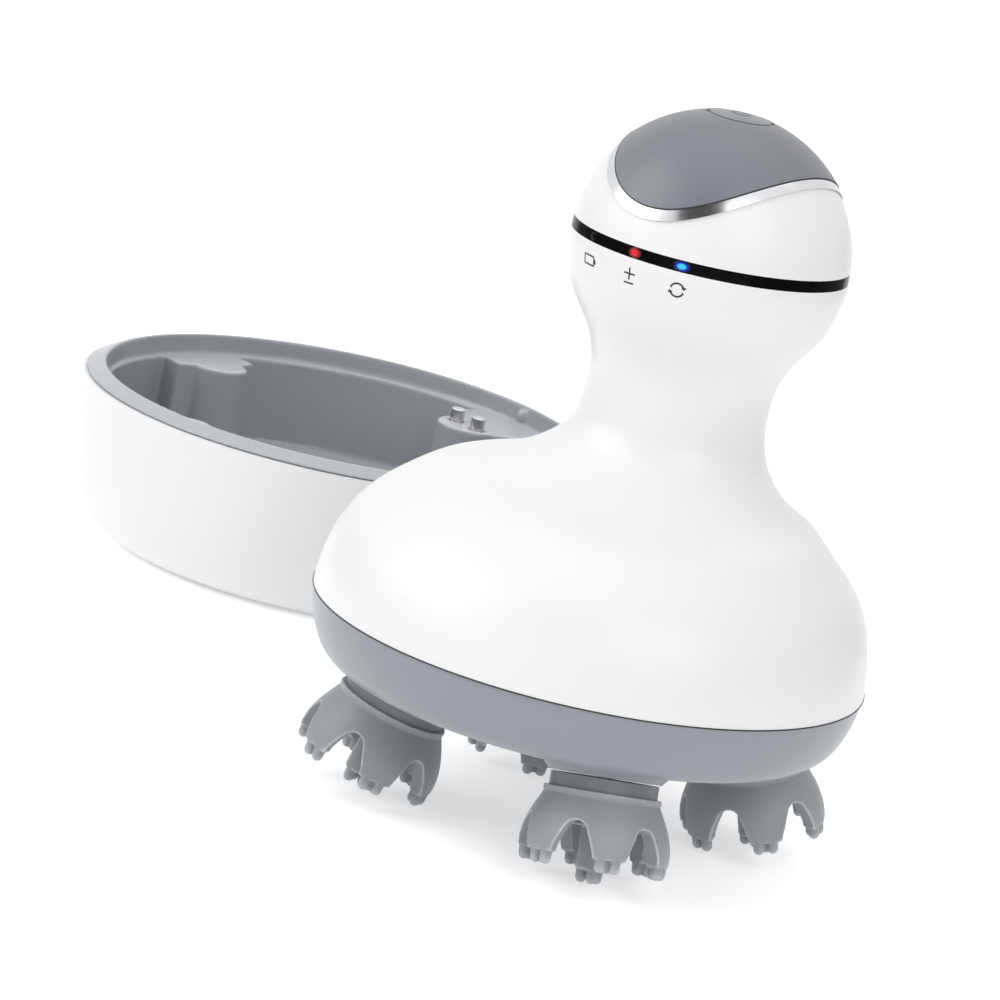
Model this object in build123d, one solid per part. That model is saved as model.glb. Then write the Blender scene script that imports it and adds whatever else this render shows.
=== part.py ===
from build123d import *
import math
import os

# Electric scalp massager with its charging dock, in millimetres.
# The floor is z = 0. The massager stands on its head tips with its base axis on Z.
# Its front, with the indicator lights, faces -Y. The ball handle sits back along +Y.

# ---------------------------------------------------------------- driving dimensions
# Massager housing
SEAM_ABOVE_LIPS = 22.1
BASE_RADIUS = 58.0
BODY_WALL = 2.4
HANDLE_OFFSET = 13.4
BALL_RADIUS = 29.0
BALL_RISE = 81.2
DOME_STATIONS = (  # shares of (ball rise, base radius, handle offset)
    (0.000, 1.000, 0.00),
    (0.068, 0.989, 0.00),
    (0.142, 0.964, 0.02),
    (0.216, 0.914, 0.05),
    (0.277, 0.838, 0.09),
    (0.326, 0.757, 0.16),
    (0.376, 0.612, 0.52),
)
NECK_STATIONS = (  # shares of (ball rise, ball radius, handle offset)
    (0.425, 0.932, 0.80),
    (0.474, 0.780, 0.94),
    (0.523, 0.700, 1.00),
    (0.585, 0.664, 1.00),
    (0.647, 0.660, 1.00),
    (0.720, 0.694, 1.00),
    (0.794, 0.806, 1.00),
)
BALL_STATIONS = (0.438, 0.300, 0.162, 0.000)  # depths under the band, as shares of the ball radius
SHELL_GAP = 0.3

# Indicator band and the top of the ball
BAND_HEIGHT = 2.4
BAND_WALL = 1.8
SPIGOT_WALL = 1.4
SPIGOT_DEPTH = 3.4
SPIGOT_REACH = 6.0
SPIGOT_GAP = 0.35
LED_RADIUS = 1.1
LED_SPACING_DEG = 22.2
TRIM_ARC_RADIUS = 40.4
TRIM_DROP = 9.3
TRIM_WIDTH = 1.7
TRIM_PROUD = 0.35
COVER_PROUD = 0.5
TOP_WALL = 2.2

# Power button and its switch
BUTTON_RADIUS = 6.5
BUTTON_GAP = 0.2
BUTTON_TRAVEL = 0.8
BUTTON_CAP = 3.2
BUTTON_FLANGE = 0.9
BUTTON_STEM_RADIUS = 1.8
BUTTON_STEM = 3.6
SWITCH_SIDE = 6.0
SWITCH_BODY = 3.4
SWITCH_PLUNGER_RADIUS = 1.7
SWITCH_PLUNGER = 1.2
BUTTON_BOARD_RADIUS = 12.5
BOARD_THICK = 1.6
POST_RADIUS = 1.6
POST_CIRCLE = 10.2

# Battery and control board
CELL_RADIUS = 9.15
CELL_LENGTH = 50.0
HOLDER_WALL = 1.2
HOLDER_HEIGHT = 30.0
HOLDER_FINS = 3
HOLDER_FIN_THICK = 1.6
CONTROL_BOARD_GAP = 0.4
BOARD_LEDGE = 2.0

# Massage heads
HEAD_SPLAY_DEG = 16.0
HEAD_INSET = 19.8
PATTERN_OFFSET = 2.2
HEAD_AZIMUTHS = (-45.0, 45.0, 135.0, 225.0)
HEAD_PHASES = (0.0, 30.0, 0.0, 30.0)
LIP_RADIUS = 12.0
LIP_HEIGHT = 0.9
CLAW_RADIUS = 15.3
CLAW_LENGTH = 13.0
CLAW_COUNT = 6
CLAW_WALL = 3.4
CUP_WALL = 1.8
ARCH_WIDTH = 8.3
ARCH_TOP = 6.0
TIP_RADIUS = 1.15
TIP_LENGTH = 2.7
TIP_SPACING = 2.9
TIP_INSET = 1.35
POST_TIP_RADIUS = 3.1
POST_DROP = 2.8
HUB_RADIUS = 7.0
HUB_DEPTH = 5.0
HUB_WALL = 2.0
COLLAR_RADIUS = 11.0
COLLAR_HEIGHT = 2.8
RUNNING_GAP = 0.3

# Base ring
UNDERSIDE_DROP = 13.3
RING_REVEAL = 0.2
RING_WALL = 2.4
FLOOR_THICK = 2.6
RING_SPIGOT = 3.5
RING_SPIGOT_WALL = 1.6
BOSS_FOOT_RADIUS = 11.5
BOSS_TOP_RADIUS = 16.5
BOSS_CONE = 6.0
BOSS_HUB_RADIUS = 6.0
BOSS_HUB_HEIGHT = 10.4
BUSH_RADIUS = 4.0
SPINDLE_RADIUS = 2.0
SHAFT_CLEARANCE = 0.05
SCREW_INSET = 4.5
MOTOR_TO_STANDOFF = 0.4
STANDOFF_RADIUS = 4.0
SCREW_RADIUS = 1.3
SCREW_HEAD_RADIUS = 2.5
SCREW_HEAD = 2.0
SCREW_BITE = 6.0
CONTACT_INSET = 18.0
CONTACT_SPACING = 7.6
CONTACT_RADIUS = 2.4
CONTACT_RECESS = 2.0
NOTCH_RADIUS = 2.4

# Gear train
PRESSURE_DEG = 20.0
BACKLASH = 0.14
HEAD_TEETH = 22
SUN_TEETH = 28
HEAD_GEAR_Z = 38.0
BEVEL_FACE = 4.4
SPUR_MODULE = 0.8
SUN_SPUR_TEETH = 40
IDLER_TEETH = 40
IDLER_PINION_TEETH = 12
MOTOR_TEETH = 10
SUN_SPUR_Z = 39.0
SPUR_FACE = 4.0
IDLER_Z = 44.2
IDLER_FACE = 3.2
SUN_SHAFT_RADIUS = 2.5
IDLER_PIN_RADIUS = 1.5
PIN_HEAD = 0.8
PLATE_Z = 48.4
PLATE_THICK = 2.0
PLATE_INSET = 9.5
PLATE_WINDOW_RADIUS = 9.0

# Motor
MOTOR_RADIUS = 12.2
MOTOR_LENGTH = 27.0
MOTOR_SHAFT_RADIUS = 1.0
MOTOR_BORE_DEPTH = 8.0
MOTOR_NOSE_RADIUS = 3.2

# Charging dock
DOCK_X = -147.0
DOCK_Y = 105.0
DOCK_YAW = -12.0
DOCK_HEIGHT = 39.5
DOCK_WALL = 1.8
RIM_DROP = 2.5
RIM_WIDTH = 5.1
DOCK_FOOT_HEIGHT = 1.0
DOCK_TAPER = 11.5
DOCK_FLANK = (  # shares of (dock radius, rim height)
    (1.000, 1.000),
    (0.984, 0.730),
    (0.965, 0.460),
    (0.937, 0.243),
    (0.900, 0.119),
)
SEAT_GAP = 0.4
SEAT_DEPTH = 5.0
LEDGE_WIDTH = 1.4
CAVITY_FLOOR_Z = 6.8
LINER_WALL = 1.4
PIN_PILLAR_LEAD = 7.0
PIN_PILLAR_NOSE = 8.0
PIN_PILLAR_HALF = 13.6
PLAIN_PILLAR_DEPTH = 15.5
PLAIN_PILLAR_NOSE = 7.0
PLAIN_PILLAR_HALF = 12.0
PILLAR_HIP = 8.0
CAVITY_CORNER = 6.2
FLOOR_DISC_RADIUS = 20.0
FLOOR_DISC_HEIGHT = 0.5
DOCK_PIN_RADIUS = 1.75
DOCK_PIN_RISE = 3.0
DOCK_PIN_TRAVEL = 1.0
DOCK_PIN_LENGTH = 8.0
BARREL_WALL = 0.8
BARREL_DEPTH = 10.0
SPRING_WIRE = 0.25
SPRING_TURNS = 5
SOCKET_WIDTH = 9.0
SOCKET_HEIGHT = 3.2
SOCKET_DEPTH = 7.4
SOCKET_CUT = 20.0
DOCK_BOARD_WIDTH = 10.6
DOCK_BOARD_DEPTH = 16.0
DOCK_BOARD_Z = 12.0
FOOT_RADIUS = 5.0
FOOT_INSET = 15.0
DOCK_PLATE_THICK = 2.0
DOCK_LIP = 2.0
DOCK_SCREW_INSET = 11.5
DOCK_SCREW_RADIUS = 1.3
DOCK_SCREW_HEAD = 1.2
DOCK_SCREW_BITE = 9.0
DOCK_BOSS_RADIUS = 3.0

# ---------------------------------------------------------------- worked-out values
SPLAY = math.radians(HEAD_SPLAY_DEG)
HEAD_CIRCLE = BASE_RADIUS - HEAD_INSET
CONTACT_CIRCLE = BASE_RADIUS - CONTACT_INSET
PLATE_RADIUS = BASE_RADIUS - PLATE_INSET
SCREW_CIRCLE = PLATE_RADIUS - SCREW_INSET
BACK_SCREW_CIRCLE = HANDLE_OFFSET + MOTOR_RADIUS + STANDOFF_RADIUS + MOTOR_TO_STANDOFF
TRIM_LOW_PEAK = BALL_RADIUS - TRIM_DROP
TRIM_HIGH_PEAK = TRIM_LOW_PEAK + TRIM_WIDTH
TIP_SEAT = CLAW_RADIUS - TIP_INSET
TIP_DROP = TIP_LENGTH - TIP_RADIUS
HEAD_LIP_Z = (CLAW_LENGTH + TIP_DROP) * math.cos(SPLAY) + TIP_SEAT * math.sin(SPLAY) + TIP_RADIUS
SEAM_Z = HEAD_LIP_Z + SEAM_ABOVE_LIPS
BALL_Z = SEAM_Z + BALL_RISE
BALL_CENTRE = (0, HANDLE_OFFSET, BALL_Z)
BAND_Z = BALL_Z
BAND_TOP = BAND_Z + BAND_HEIGHT
UNDERSIDE_Z = SEAM_Z - UNDERSIDE_DROP
FLOOR_TOP = UNDERSIDE_Z + FLOOR_THICK
APEX_Z = HEAD_LIP_Z + HEAD_CIRCLE / math.tan(SPLAY)
CLAW_BOTTOM = -CLAW_LENGTH
COLLAR_TOP = COLLAR_HEIGHT
BOSS_FOOT = COLLAR_TOP + RUNNING_GAP
HUB_TOP = BOSS_FOOT + BOSS_HUB_HEIGHT
HEAD_GEAR_LOCAL = (HEAD_GEAR_Z - HEAD_LIP_Z) / math.cos(SPLAY)
APEX_LOCAL = (APEX_Z - HEAD_LIP_Z) / math.cos(SPLAY)
HEAD_GEAR_CIRCLE = HEAD_CIRCLE - (HEAD_GEAR_Z - HEAD_LIP_Z) * math.tan(SPLAY)
HEAD_PITCH = HEAD_GEAR_CIRCLE / (SUN_TEETH / HEAD_TEETH + math.cos(SPLAY))
SUN_PITCH = HEAD_PITCH * SUN_TEETH / HEAD_TEETH
SUN_GEAR_Z = HEAD_GEAR_Z - HEAD_PITCH * math.sin(SPLAY)
IDLER_FROM_SUN = (SUN_SPUR_TEETH + IDLER_PINION_TEETH) * SPUR_MODULE / 2
IDLER_FROM_MOTOR = (IDLER_TEETH + MOTOR_TEETH) * SPUR_MODULE / 2
SUN_TO_MOTOR = HANDLE_OFFSET - PATTERN_OFFSET
IDLER_RISE = (IDLER_FROM_SUN**2 - IDLER_FROM_MOTOR**2 + SUN_TO_MOTOR**2) / (2 * SUN_TO_MOTOR)
IDLER_X = math.sqrt(IDLER_FROM_SUN**2 - IDLER_RISE**2)
IDLER_Y = PATTERN_OFFSET + IDLER_RISE
PLATE_TOP = PLATE_Z + PLATE_THICK
SCREW_PLACES = (
    (SCREW_CIRCLE, 0),
    (-SCREW_CIRCLE, 0),
    (0, -SCREW_CIRCLE),
    (0, BACK_SCREW_CIRCLE),
)
CONTACT_PLACES = ((-CONTACT_SPACING / 2, CONTACT_CIRCLE), (CONTACT_SPACING / 2, CONTACT_CIRCLE))
BODY_TOP_INNER = BALL_RADIUS - BODY_WALL
SPIGOT_RADIUS = BODY_TOP_INNER - SHELL_GAP
CONTROL_BOARD_Z = BAND_Z - SPIGOT_DEPTH - BOARD_THICK - SHELL_GAP
COVER_RADIUS = BALL_RADIUS + COVER_PROUD
COVER_TOP = BALL_Z + COVER_RADIUS
BUTTON_BASE = COVER_TOP - BUTTON_CAP
STEM_FOOT = BUTTON_BASE - BUTTON_FLANGE - BUTTON_STEM
SWITCH_TOP = STEM_FOOT - BUTTON_TRAVEL
BUTTON_BOARD_Z = SWITCH_TOP - SWITCH_PLUNGER - SWITCH_BODY - BOARD_THICK
CELL_FOOT = PLATE_TOP + MOTOR_LENGTH + HOLDER_WALL + RUNNING_GAP
RIM_RADIUS = BASE_RADIUS + SEAT_GAP
CAVITY_RADIUS = RIM_RADIUS - LEDGE_WIDTH
DOCK_RADIUS = RIM_RADIUS + RIM_WIDTH
DOCK_FLOOR_RADIUS = DOCK_RADIUS - DOCK_TAPER
PIN_PILLAR = (CONTACT_CIRCLE - PIN_PILLAR_LEAD, PIN_PILLAR_NOSE, PIN_PILLAR_HALF)
PLAIN_PILLAR = (CAVITY_RADIUS - PLAIN_PILLAR_DEPTH, PLAIN_PILLAR_NOSE, PLAIN_PILLAR_HALF)
DOCK_SCREW_CIRCLE = CAVITY_RADIUS - DOCK_SCREW_INSET
FOOT_CIRCLE = DOCK_FLOOR_RADIUS - FOOT_INSET
LEDGE_Z = DOCK_HEIGHT - SEAT_DEPTH
RIM_Z = DOCK_HEIGHT - RIM_DROP
LINER_RADIUS = CAVITY_RADIUS + LINER_WALL
PILLAR_ROOF = LEDGE_Z - LINER_WALL
PIN_FOOT = LEDGE_Z + DOCK_PIN_RISE - DOCK_PIN_LENGTH
BARREL_FOOT = PILLAR_ROOF - BARREL_DEPTH
DOCK_PLATE_Z = DOCK_FOOT_HEIGHT
DOCK_PLATE_TOP = DOCK_PLATE_Z + DOCK_PLATE_THICK

parts = {}


# ---------------------------------------------------------------- helpers
def post(radius, low, high, x=0.0, y=0.0):
    """A vertical round bar between two heights."""
    return Pos(x, y, (low + high) / 2) * Cylinder(radius, high - low)


def tube(outer, inner, low, high, x=0.0, y=0.0):
    """A vertical round tube between two heights."""
    return post(outer, low, high, x, y) - post(inner, low - 1, high + 1, x, y)


def block(width, depth, low, high, x=0.0, y=0.0):
    """An upright block between two heights."""
    return Pos(x, y, (low + high) / 2) * Box(width, depth, high - low)


def turned(points):
    """A solid of revolution about Z from corners given as (radius, height)."""
    outline = Polyline(*[(r, 0, z) for r, z in points], close=True)
    return revolve(make_face(outline), Axis.Z)


def involute(angle):
    return math.tan(angle) - angle


def gear_outline(teeth, pitch_radius, phase_deg, scale=1.0):
    """One closed gear outline of involute teeth, with a tooth centred on the phase angle."""
    module = 2 * pitch_radius / teeth
    base = pitch_radius * math.cos(math.radians(PRESSURE_DEG))
    tip = pitch_radius + 0.95 * module
    root = pitch_radius - 1.2 * module
    half_pitch = math.pi / (2 * teeth) * (1 - BACKLASH)
    low = max(root, base)
    radii = [root, low + 0.02 * module, (low + tip) / 2, tip]
    flank = []
    for r in radii:
        roll = math.acos(min(1.0, base / max(r, base)))
        flank.append((r, half_pitch + involute(math.radians(PRESSURE_DEG)) - involute(roll)))
    corners = []
    for tooth in range(teeth):
        middle = math.radians(phase_deg) + 2 * math.pi * tooth / teeth
        for r, half in flank:
            corners.append((r, middle - half))
        for r, half in reversed(flank):
            corners.append((r, middle + half))
    return [(scale * r * math.cos(a), scale * r * math.sin(a)) for r, a in corners]


def spur_gear(teeth, pitch_radius, low, high, phase_deg, x=0.0, y=0.0):
    """A straight gear between two heights."""
    outline = Polyline(*gear_outline(teeth, pitch_radius, phase_deg), close=True)
    return Pos(x, y, low) * extrude(make_face(outline), high - low)


def bevel_gear(teeth, pitch_radius, middle, face, apex, phase_deg):
    """A slightly conical gear about Z whose teeth all point at the apex height."""
    ends = []
    for z in (middle - face / 2, middle + face / 2):
        shrink = (apex - z) / (apex - middle)
        outline = Polyline(*gear_outline(teeth, pitch_radius, phase_deg, shrink), close=True)
        ends.append(Pos(0, 0, z) * make_face(outline))
    return loft(ends, ruled=True)


def head_place(azimuth_deg):
    """Where a head's own frame lies: its lip is z = 0 and its spin axis is its own Z."""
    angle = math.radians(azimuth_deg)
    outward = Vector(math.cos(angle), math.sin(angle), 0)
    up = Vector(0, 0, math.cos(SPLAY)) - outward * math.sin(SPLAY)
    side = Vector(0, 0, math.sin(SPLAY)) + outward * math.cos(SPLAY)
    lip = outward * HEAD_CIRCLE + Vector(0, PATTERN_OFFSET, HEAD_LIP_Z)
    return Plane(origin=lip, x_dir=side, z_dir=up).location


def ball(radius):
    return Pos(*BALL_CENTRE) * Sphere(radius)


def below_arc(peak):
    """Everything in the ball that lies under the cover's saddle-shaped outline."""
    axis_z = BALL_Z + peak - TRIM_ARC_RADIUS
    bar = Pos(0, HANDLE_OFFSET, axis_z) * Rot(0, 90, 0) * Cylinder(TRIM_ARC_RADIUS, 4 * BALL_RADIUS)
    return bar


# ---------------------------------------------------------------- housing
def body_stations():
    """Section circles of the housing, as (height, radius, centre y)."""
    rows = [(SEAM_Z + BALL_RISE * h, BASE_RADIUS * r, HANDLE_OFFSET * c) for h, r, c in DOME_STATIONS]
    rows += [(SEAM_Z + BALL_RISE * h, BALL_RADIUS * r, HANDLE_OFFSET * c) for h, r, c in NECK_STATIONS]
    for share in BALL_STATIONS:
        depth = BALL_RADIUS * share
        rows.append((BAND_Z - depth, math.sqrt(BALL_RADIUS**2 - depth**2), HANDLE_OFFSET))
    return rows


def inset_stations(rows, wall):
    """The same sections moved inward, square to the wall, by its thickness."""
    inner = []
    last = len(rows) - 1
    for i, (z, r, y) in enumerate(rows):
        low = rows[max(i - 1, 0)]
        high = rows[min(i + 1, last)]
        rise = high[0] - low[0]
        spread = high[1] - low[1]
        length = math.hypot(rise, spread)
        lift = wall * spread / length
        inner.append((z + lift, r - wall * rise / length, y))
    inner[0] = (rows[0][0], rows[0][1] - wall, rows[0][2])
    inner[last] = (rows[last][0], rows[last][1] - wall, rows[last][2])
    return inner


def lofted(rows):
    return loft([Pos(0, y, z) * Circle(r) for z, r, y in rows])


def make_housing():
    rows = body_stations()
    outer = lofted(rows)
    body = outer - lofted(inset_stations(rows, BODY_WALL))
    ledge_low = CONTROL_BOARD_Z - BOARD_LEDGE
    ledge_hole = SPIGOT_RADIUS - CONTROL_BOARD_GAP - BOARD_LEDGE
    ledge = tube(BALL_RADIUS, ledge_hole, ledge_low, CONTROL_BOARD_Z, 0, HANDLE_OFFSET)
    body += ledge & outer
    for x, y in SCREW_PLACES:
        pillar = post(STANDOFF_RADIUS, PLATE_TOP, SEAM_Z + BALL_RISE / 2, x, y) & outer
        body += pillar
        body -= post(SCREW_RADIUS, PLATE_TOP - 1, PLATE_TOP + SCREW_BITE, x, y)
    seat_foot = BAND_Z - SPIGOT_DEPTH - SHELL_GAP
    body -= post(SPIGOT_RADIUS + SPIGOT_GAP, seat_foot, BAND_Z + 1, 0, HANDLE_OFFSET)
    parts["main_body"] = body


def led_angles():
    """Azimuths of the three lights on the band, counted from the front."""
    return [("led_battery", -LED_SPACING_DEG), ("led_strength", 0.0), ("led_direction", LED_SPACING_DEG)]


def led_bar(azimuth_deg, radius, inner, outer):
    """A round bar that points out through the band at a light's azimuth."""
    middle = (inner + outer) / 2
    place = Pos(0, HANDLE_OFFSET, BAND_Z + BAND_HEIGHT / 2) * Rot(0, 0, azimuth_deg)
    return place * Pos(0, -middle, 0) * Rot(90, 0, 0) * Cylinder(radius, outer - inner)


def make_indicators():
    band = tube(BALL_RADIUS, BALL_RADIUS - BAND_WALL, BAND_Z, BAND_TOP, 0, HANDLE_OFFSET)
    band = band & ball(BALL_RADIUS)
    board_top = CONTROL_BOARD_Z + BOARD_THICK
    stem_outer = SPIGOT_RADIUS - SPIGOT_WALL - SHELL_GAP
    stem_depth = 2 * LED_RADIUS
    for name, azimuth in led_angles():
        band -= led_bar(azimuth, LED_RADIUS, BALL_RADIUS - 2 * BAND_WALL, BALL_RADIUS + 1)
        stem = block(2 * LED_RADIUS, stem_depth, board_top, BAND_TOP, 0, stem_depth / 2 - stem_outer)
        pipe = Pos(0, HANDLE_OFFSET, 0) * Rot(0, 0, azimuth) * stem
        pipe += led_bar(azimuth, LED_RADIUS, stem_outer - stem_depth / 2, BALL_RADIUS + 0.1)
        parts[name] = pipe
    parts["indicator_band"] = band


def make_top():
    shell = ball(BALL_RADIUS) - ball(BALL_RADIUS - TOP_WALL)
    above_band = block(4 * BALL_RADIUS, 4 * BALL_RADIUS, BAND_TOP, BAND_TOP + 2 * BALL_RADIUS, 0, HANDLE_OFFSET)
    foot = BAND_Z - SPIGOT_DEPTH
    spigot = tube(SPIGOT_RADIUS, SPIGOT_RADIUS - SPIGOT_WALL, foot, BAND_TOP + SPIGOT_REACH, 0, HANDLE_OFFSET)
    upper = ((shell & above_band) + (spigot & ball(BALL_RADIUS))) & below_arc(TRIM_LOW_PEAK)
    for name, azimuth in led_angles():
        upper -= led_bar(azimuth, LED_RADIUS + SHELL_GAP, SPIGOT_RADIUS - 2 * SPIGOT_WALL, SPIGOT_RADIUS + 1)
    parts["upper_shell"] = upper

    trim_shell = ball(BALL_RADIUS + TRIM_PROUD) - ball(BALL_RADIUS - TOP_WALL)
    trim = (trim_shell & below_arc(TRIM_HIGH_PEAK)) - below_arc(TRIM_LOW_PEAK)
    parts["chrome_trim"] = trim & above_band

    cover = (ball(COVER_RADIUS) - ball(BALL_RADIUS - TOP_WALL)) & above_band
    cover -= below_arc(TRIM_HIGH_PEAK)
    for turn in range(3):
        angle = math.radians(90 + 120 * turn)
        x = POST_CIRCLE * math.cos(angle)
        y = HANDLE_OFFSET + POST_CIRCLE * math.sin(angle)
        support = post(POST_RADIUS, BUTTON_BOARD_Z + BOARD_THICK, COVER_TOP, x, y)
        cover += support & ball(BALL_RADIUS - TOP_WALL / 2)
    cover -= post(BUTTON_RADIUS + BUTTON_GAP, BUTTON_BASE - 1, COVER_TOP + 1, 0, HANDLE_OFFSET)
    cover -= post(BUTTON_RADIUS + 1.5, BUTTON_BASE - 2, BUTTON_BASE, 0, HANDLE_OFFSET)
    parts["top_cover"] = cover


def make_button():
    y = HANDLE_OFFSET
    flange_low = BUTTON_BASE - BUTTON_FLANGE
    cap = post(BUTTON_RADIUS, flange_low, COVER_TOP + 1, 0, y) & ball(COVER_RADIUS)
    cap += post(BUTTON_RADIUS + 0.8, flange_low, BUTTON_BASE, 0, y)
    cap += post(BUTTON_STEM_RADIUS, STEM_FOOT, BUTTON_BASE, 0, y)
    parts["power_button"] = cap

    board_top = BUTTON_BOARD_Z + BOARD_THICK
    board = post(BUTTON_BOARD_RADIUS, BUTTON_BOARD_Z, board_top, 0, y)
    parts["button_board"] = board
    switch = block(SWITCH_SIDE, SWITCH_SIDE, board_top, board_top + SWITCH_BODY, 0, y)
    switch += post(SWITCH_PLUNGER_RADIUS, board_top, SWITCH_TOP, 0, y)
    parts["tact_switch"] = switch


def make_power():
    y = HANDLE_OFFSET
    parts["battery_cell"] = (
        post(CELL_RADIUS, CELL_FOOT, CELL_FOOT + CELL_LENGTH - 1, 0, y)
        + post(CELL_RADIUS / 3, CELL_FOOT, CELL_FOOT + CELL_LENGTH, 0, y)
    )
    sleeve = CELL_RADIUS + SHELL_GAP / 2
    holder = tube(sleeve + HOLDER_WALL, sleeve, CELL_FOOT - HOLDER_WALL, CELL_FOOT + HOLDER_HEIGHT, 0, y)
    holder += post(sleeve, CELL_FOOT - HOLDER_WALL, CELL_FOOT, 0, y)
    neck_inner = BALL_RADIUS * min(r for h, r, c in NECK_STATIONS) - BODY_WALL - SHELL_GAP
    fin_reach = neck_inner - sleeve
    for turn in range(HOLDER_FINS):
        fin = block(HOLDER_FIN_THICK, fin_reach, CELL_FOOT + HOLDER_HEIGHT / 3, CELL_FOOT + HOLDER_HEIGHT)
        fin = Rot(0, 0, 360 / HOLDER_FINS * turn) * Pos(0, sleeve + fin_reach / 2, 0) * fin
        holder += Pos(0, y, 0) * fin
    parts["battery_holder"] = holder

    board = tube(
        SPIGOT_RADIUS - CONTROL_BOARD_GAP, CELL_RADIUS + 1, CONTROL_BOARD_Z, CONTROL_BOARD_Z + BOARD_THICK, 0, y
    )
    parts["control_board"] = board


# ---------------------------------------------------------------- base and drive
def make_base_ring():
    top = SEAM_Z - RING_REVEAL
    side = [(1.000, 0.0), (0.990, 4.2), (0.967, 8.4), (0.934, 11.6), (0.897, UNDERSIDE_DROP)]
    outer = [(BASE_RADIUS * share - RING_REVEAL, top - drop) for share, drop in side[:-1]]
    outer.append((BASE_RADIUS * side[-1][0], UNDERSIDE_Z))
    edge = Spline(*[(r, 0, z) for r, z in outer])
    lid = Polyline((0, 0, UNDERSIDE_Z), (0, 0, top), (outer[0][0], 0, top))
    floor = Line((outer[-1][0], 0, UNDERSIDE_Z), (0, 0, UNDERSIDE_Z))
    bowl = revolve(make_face([edge, lid, floor]), Axis.Z)
    hollow = [(0, FLOOR_TOP), (outer[-1][0] - RING_WALL, FLOOR_TOP)]
    hollow += [(r - RING_WALL, z) for r, z in reversed(outer[:-1]) if z > FLOOR_TOP + 1]
    hollow[-1] = (hollow[-1][0], top + 1)
    hollow.append((0, top + 1))
    ring = bowl - turned(hollow)
    spigot_radius = BASE_RADIUS - BODY_WALL - 2 * SHELL_GAP
    ring += tube(spigot_radius, spigot_radius - RING_SPIGOT_WALL, top - 3, top + RING_SPIGOT)

    for azimuth in HEAD_AZIMUTHS:
        place = head_place(azimuth)
        cone = turned(
            [
                (0, BOSS_FOOT),
                (BOSS_FOOT_RADIUS, BOSS_FOOT),
                (BOSS_TOP_RADIUS, BOSS_FOOT + BOSS_CONE),
                (BOSS_TOP_RADIUS, BOSS_FOOT + 2 * BOSS_CONE),
                (0, BOSS_FOOT + 2 * BOSS_CONE),
            ]
        )
        under = block(3 * BASE_RADIUS, 3 * BASE_RADIUS, 0, FLOOR_TOP)
        hub = post(BOSS_HUB_RADIUS, BOSS_FOOT, HUB_TOP)
        ring += (place * cone) & under
        ring += place * hub
    for azimuth in HEAD_AZIMUTHS:
        ring -= head_place(azimuth) * post(BUSH_RADIUS, BOSS_FOOT - 1, HUB_TOP + 1)

    boss_top = SUN_GEAR_Z - BEVEL_FACE / 2 - RUNNING_GAP
    ring += post(2 * SUN_SHAFT_RADIUS, UNDERSIDE_Z, boss_top, 0, PATTERN_OFFSET)
    ring -= post(SUN_SHAFT_RADIUS, UNDERSIDE_Z + 1, PLATE_Z, 0, PATTERN_OFFSET)
    for x, y in SCREW_PLACES:
        ring += post(STANDOFF_RADIUS, UNDERSIDE_Z, PLATE_Z, x, y)
        ring -= post(SCREW_RADIUS + SHELL_GAP / 2, UNDERSIDE_Z - 1, PLATE_Z + 1, x, y)
        ring -= post(SCREW_HEAD_RADIUS + SHELL_GAP / 2, UNDERSIDE_Z - 1, UNDERSIDE_Z + SCREW_HEAD, x, y)
    for x, y in CONTACT_PLACES:
        ring += post(CONTACT_RADIUS + 1.5, UNDERSIDE_Z, UNDERSIDE_Z + CONTACT_RECESS + 2.0, x, y)
        ring -= post(CONTACT_RADIUS, UNDERSIDE_Z - 1, UNDERSIDE_Z + CONTACT_RECESS + 0.8, x, y)
        ring -= post(CONTACT_RADIUS / 3, UNDERSIDE_Z, UNDERSIDE_Z + CONTACT_RECESS + 3, x, y)
    ring -= post(NOTCH_RADIUS, UNDERSIDE_Z - 1, UNDERSIDE_Z + SEAT_DEPTH, 0, BASE_RADIUS - 1.5)
    parts["base_ring"] = ring

    contacts = []
    for x, y in CONTACT_PLACES:
        low = UNDERSIDE_Z + CONTACT_RECESS
        pad = post(CONTACT_RADIUS, low, low + 0.8, x, y) + post(CONTACT_RADIUS / 3, low, low + 3, x, y)
        contacts.append(pad)
    parts["charging_contacts"] = Compound(children=contacts)

    screws = []
    for x, y in SCREW_PLACES:
        head = post(SCREW_HEAD_RADIUS, UNDERSIDE_Z + 0.2, UNDERSIDE_Z + SCREW_HEAD, x, y)
        head -= block(3.2, 0.8, UNDERSIDE_Z, UNDERSIDE_Z + 1.0, x, y)
        head -= block(0.8, 3.2, UNDERSIDE_Z, UNDERSIDE_Z + 1.0, x, y)
        shank = post(SCREW_RADIUS, UNDERSIDE_Z + 1.0, PLATE_TOP + SCREW_BITE, x, y)
        screws.append(head + shank)
    parts["case_screws"] = Compound(children=screws)


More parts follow.
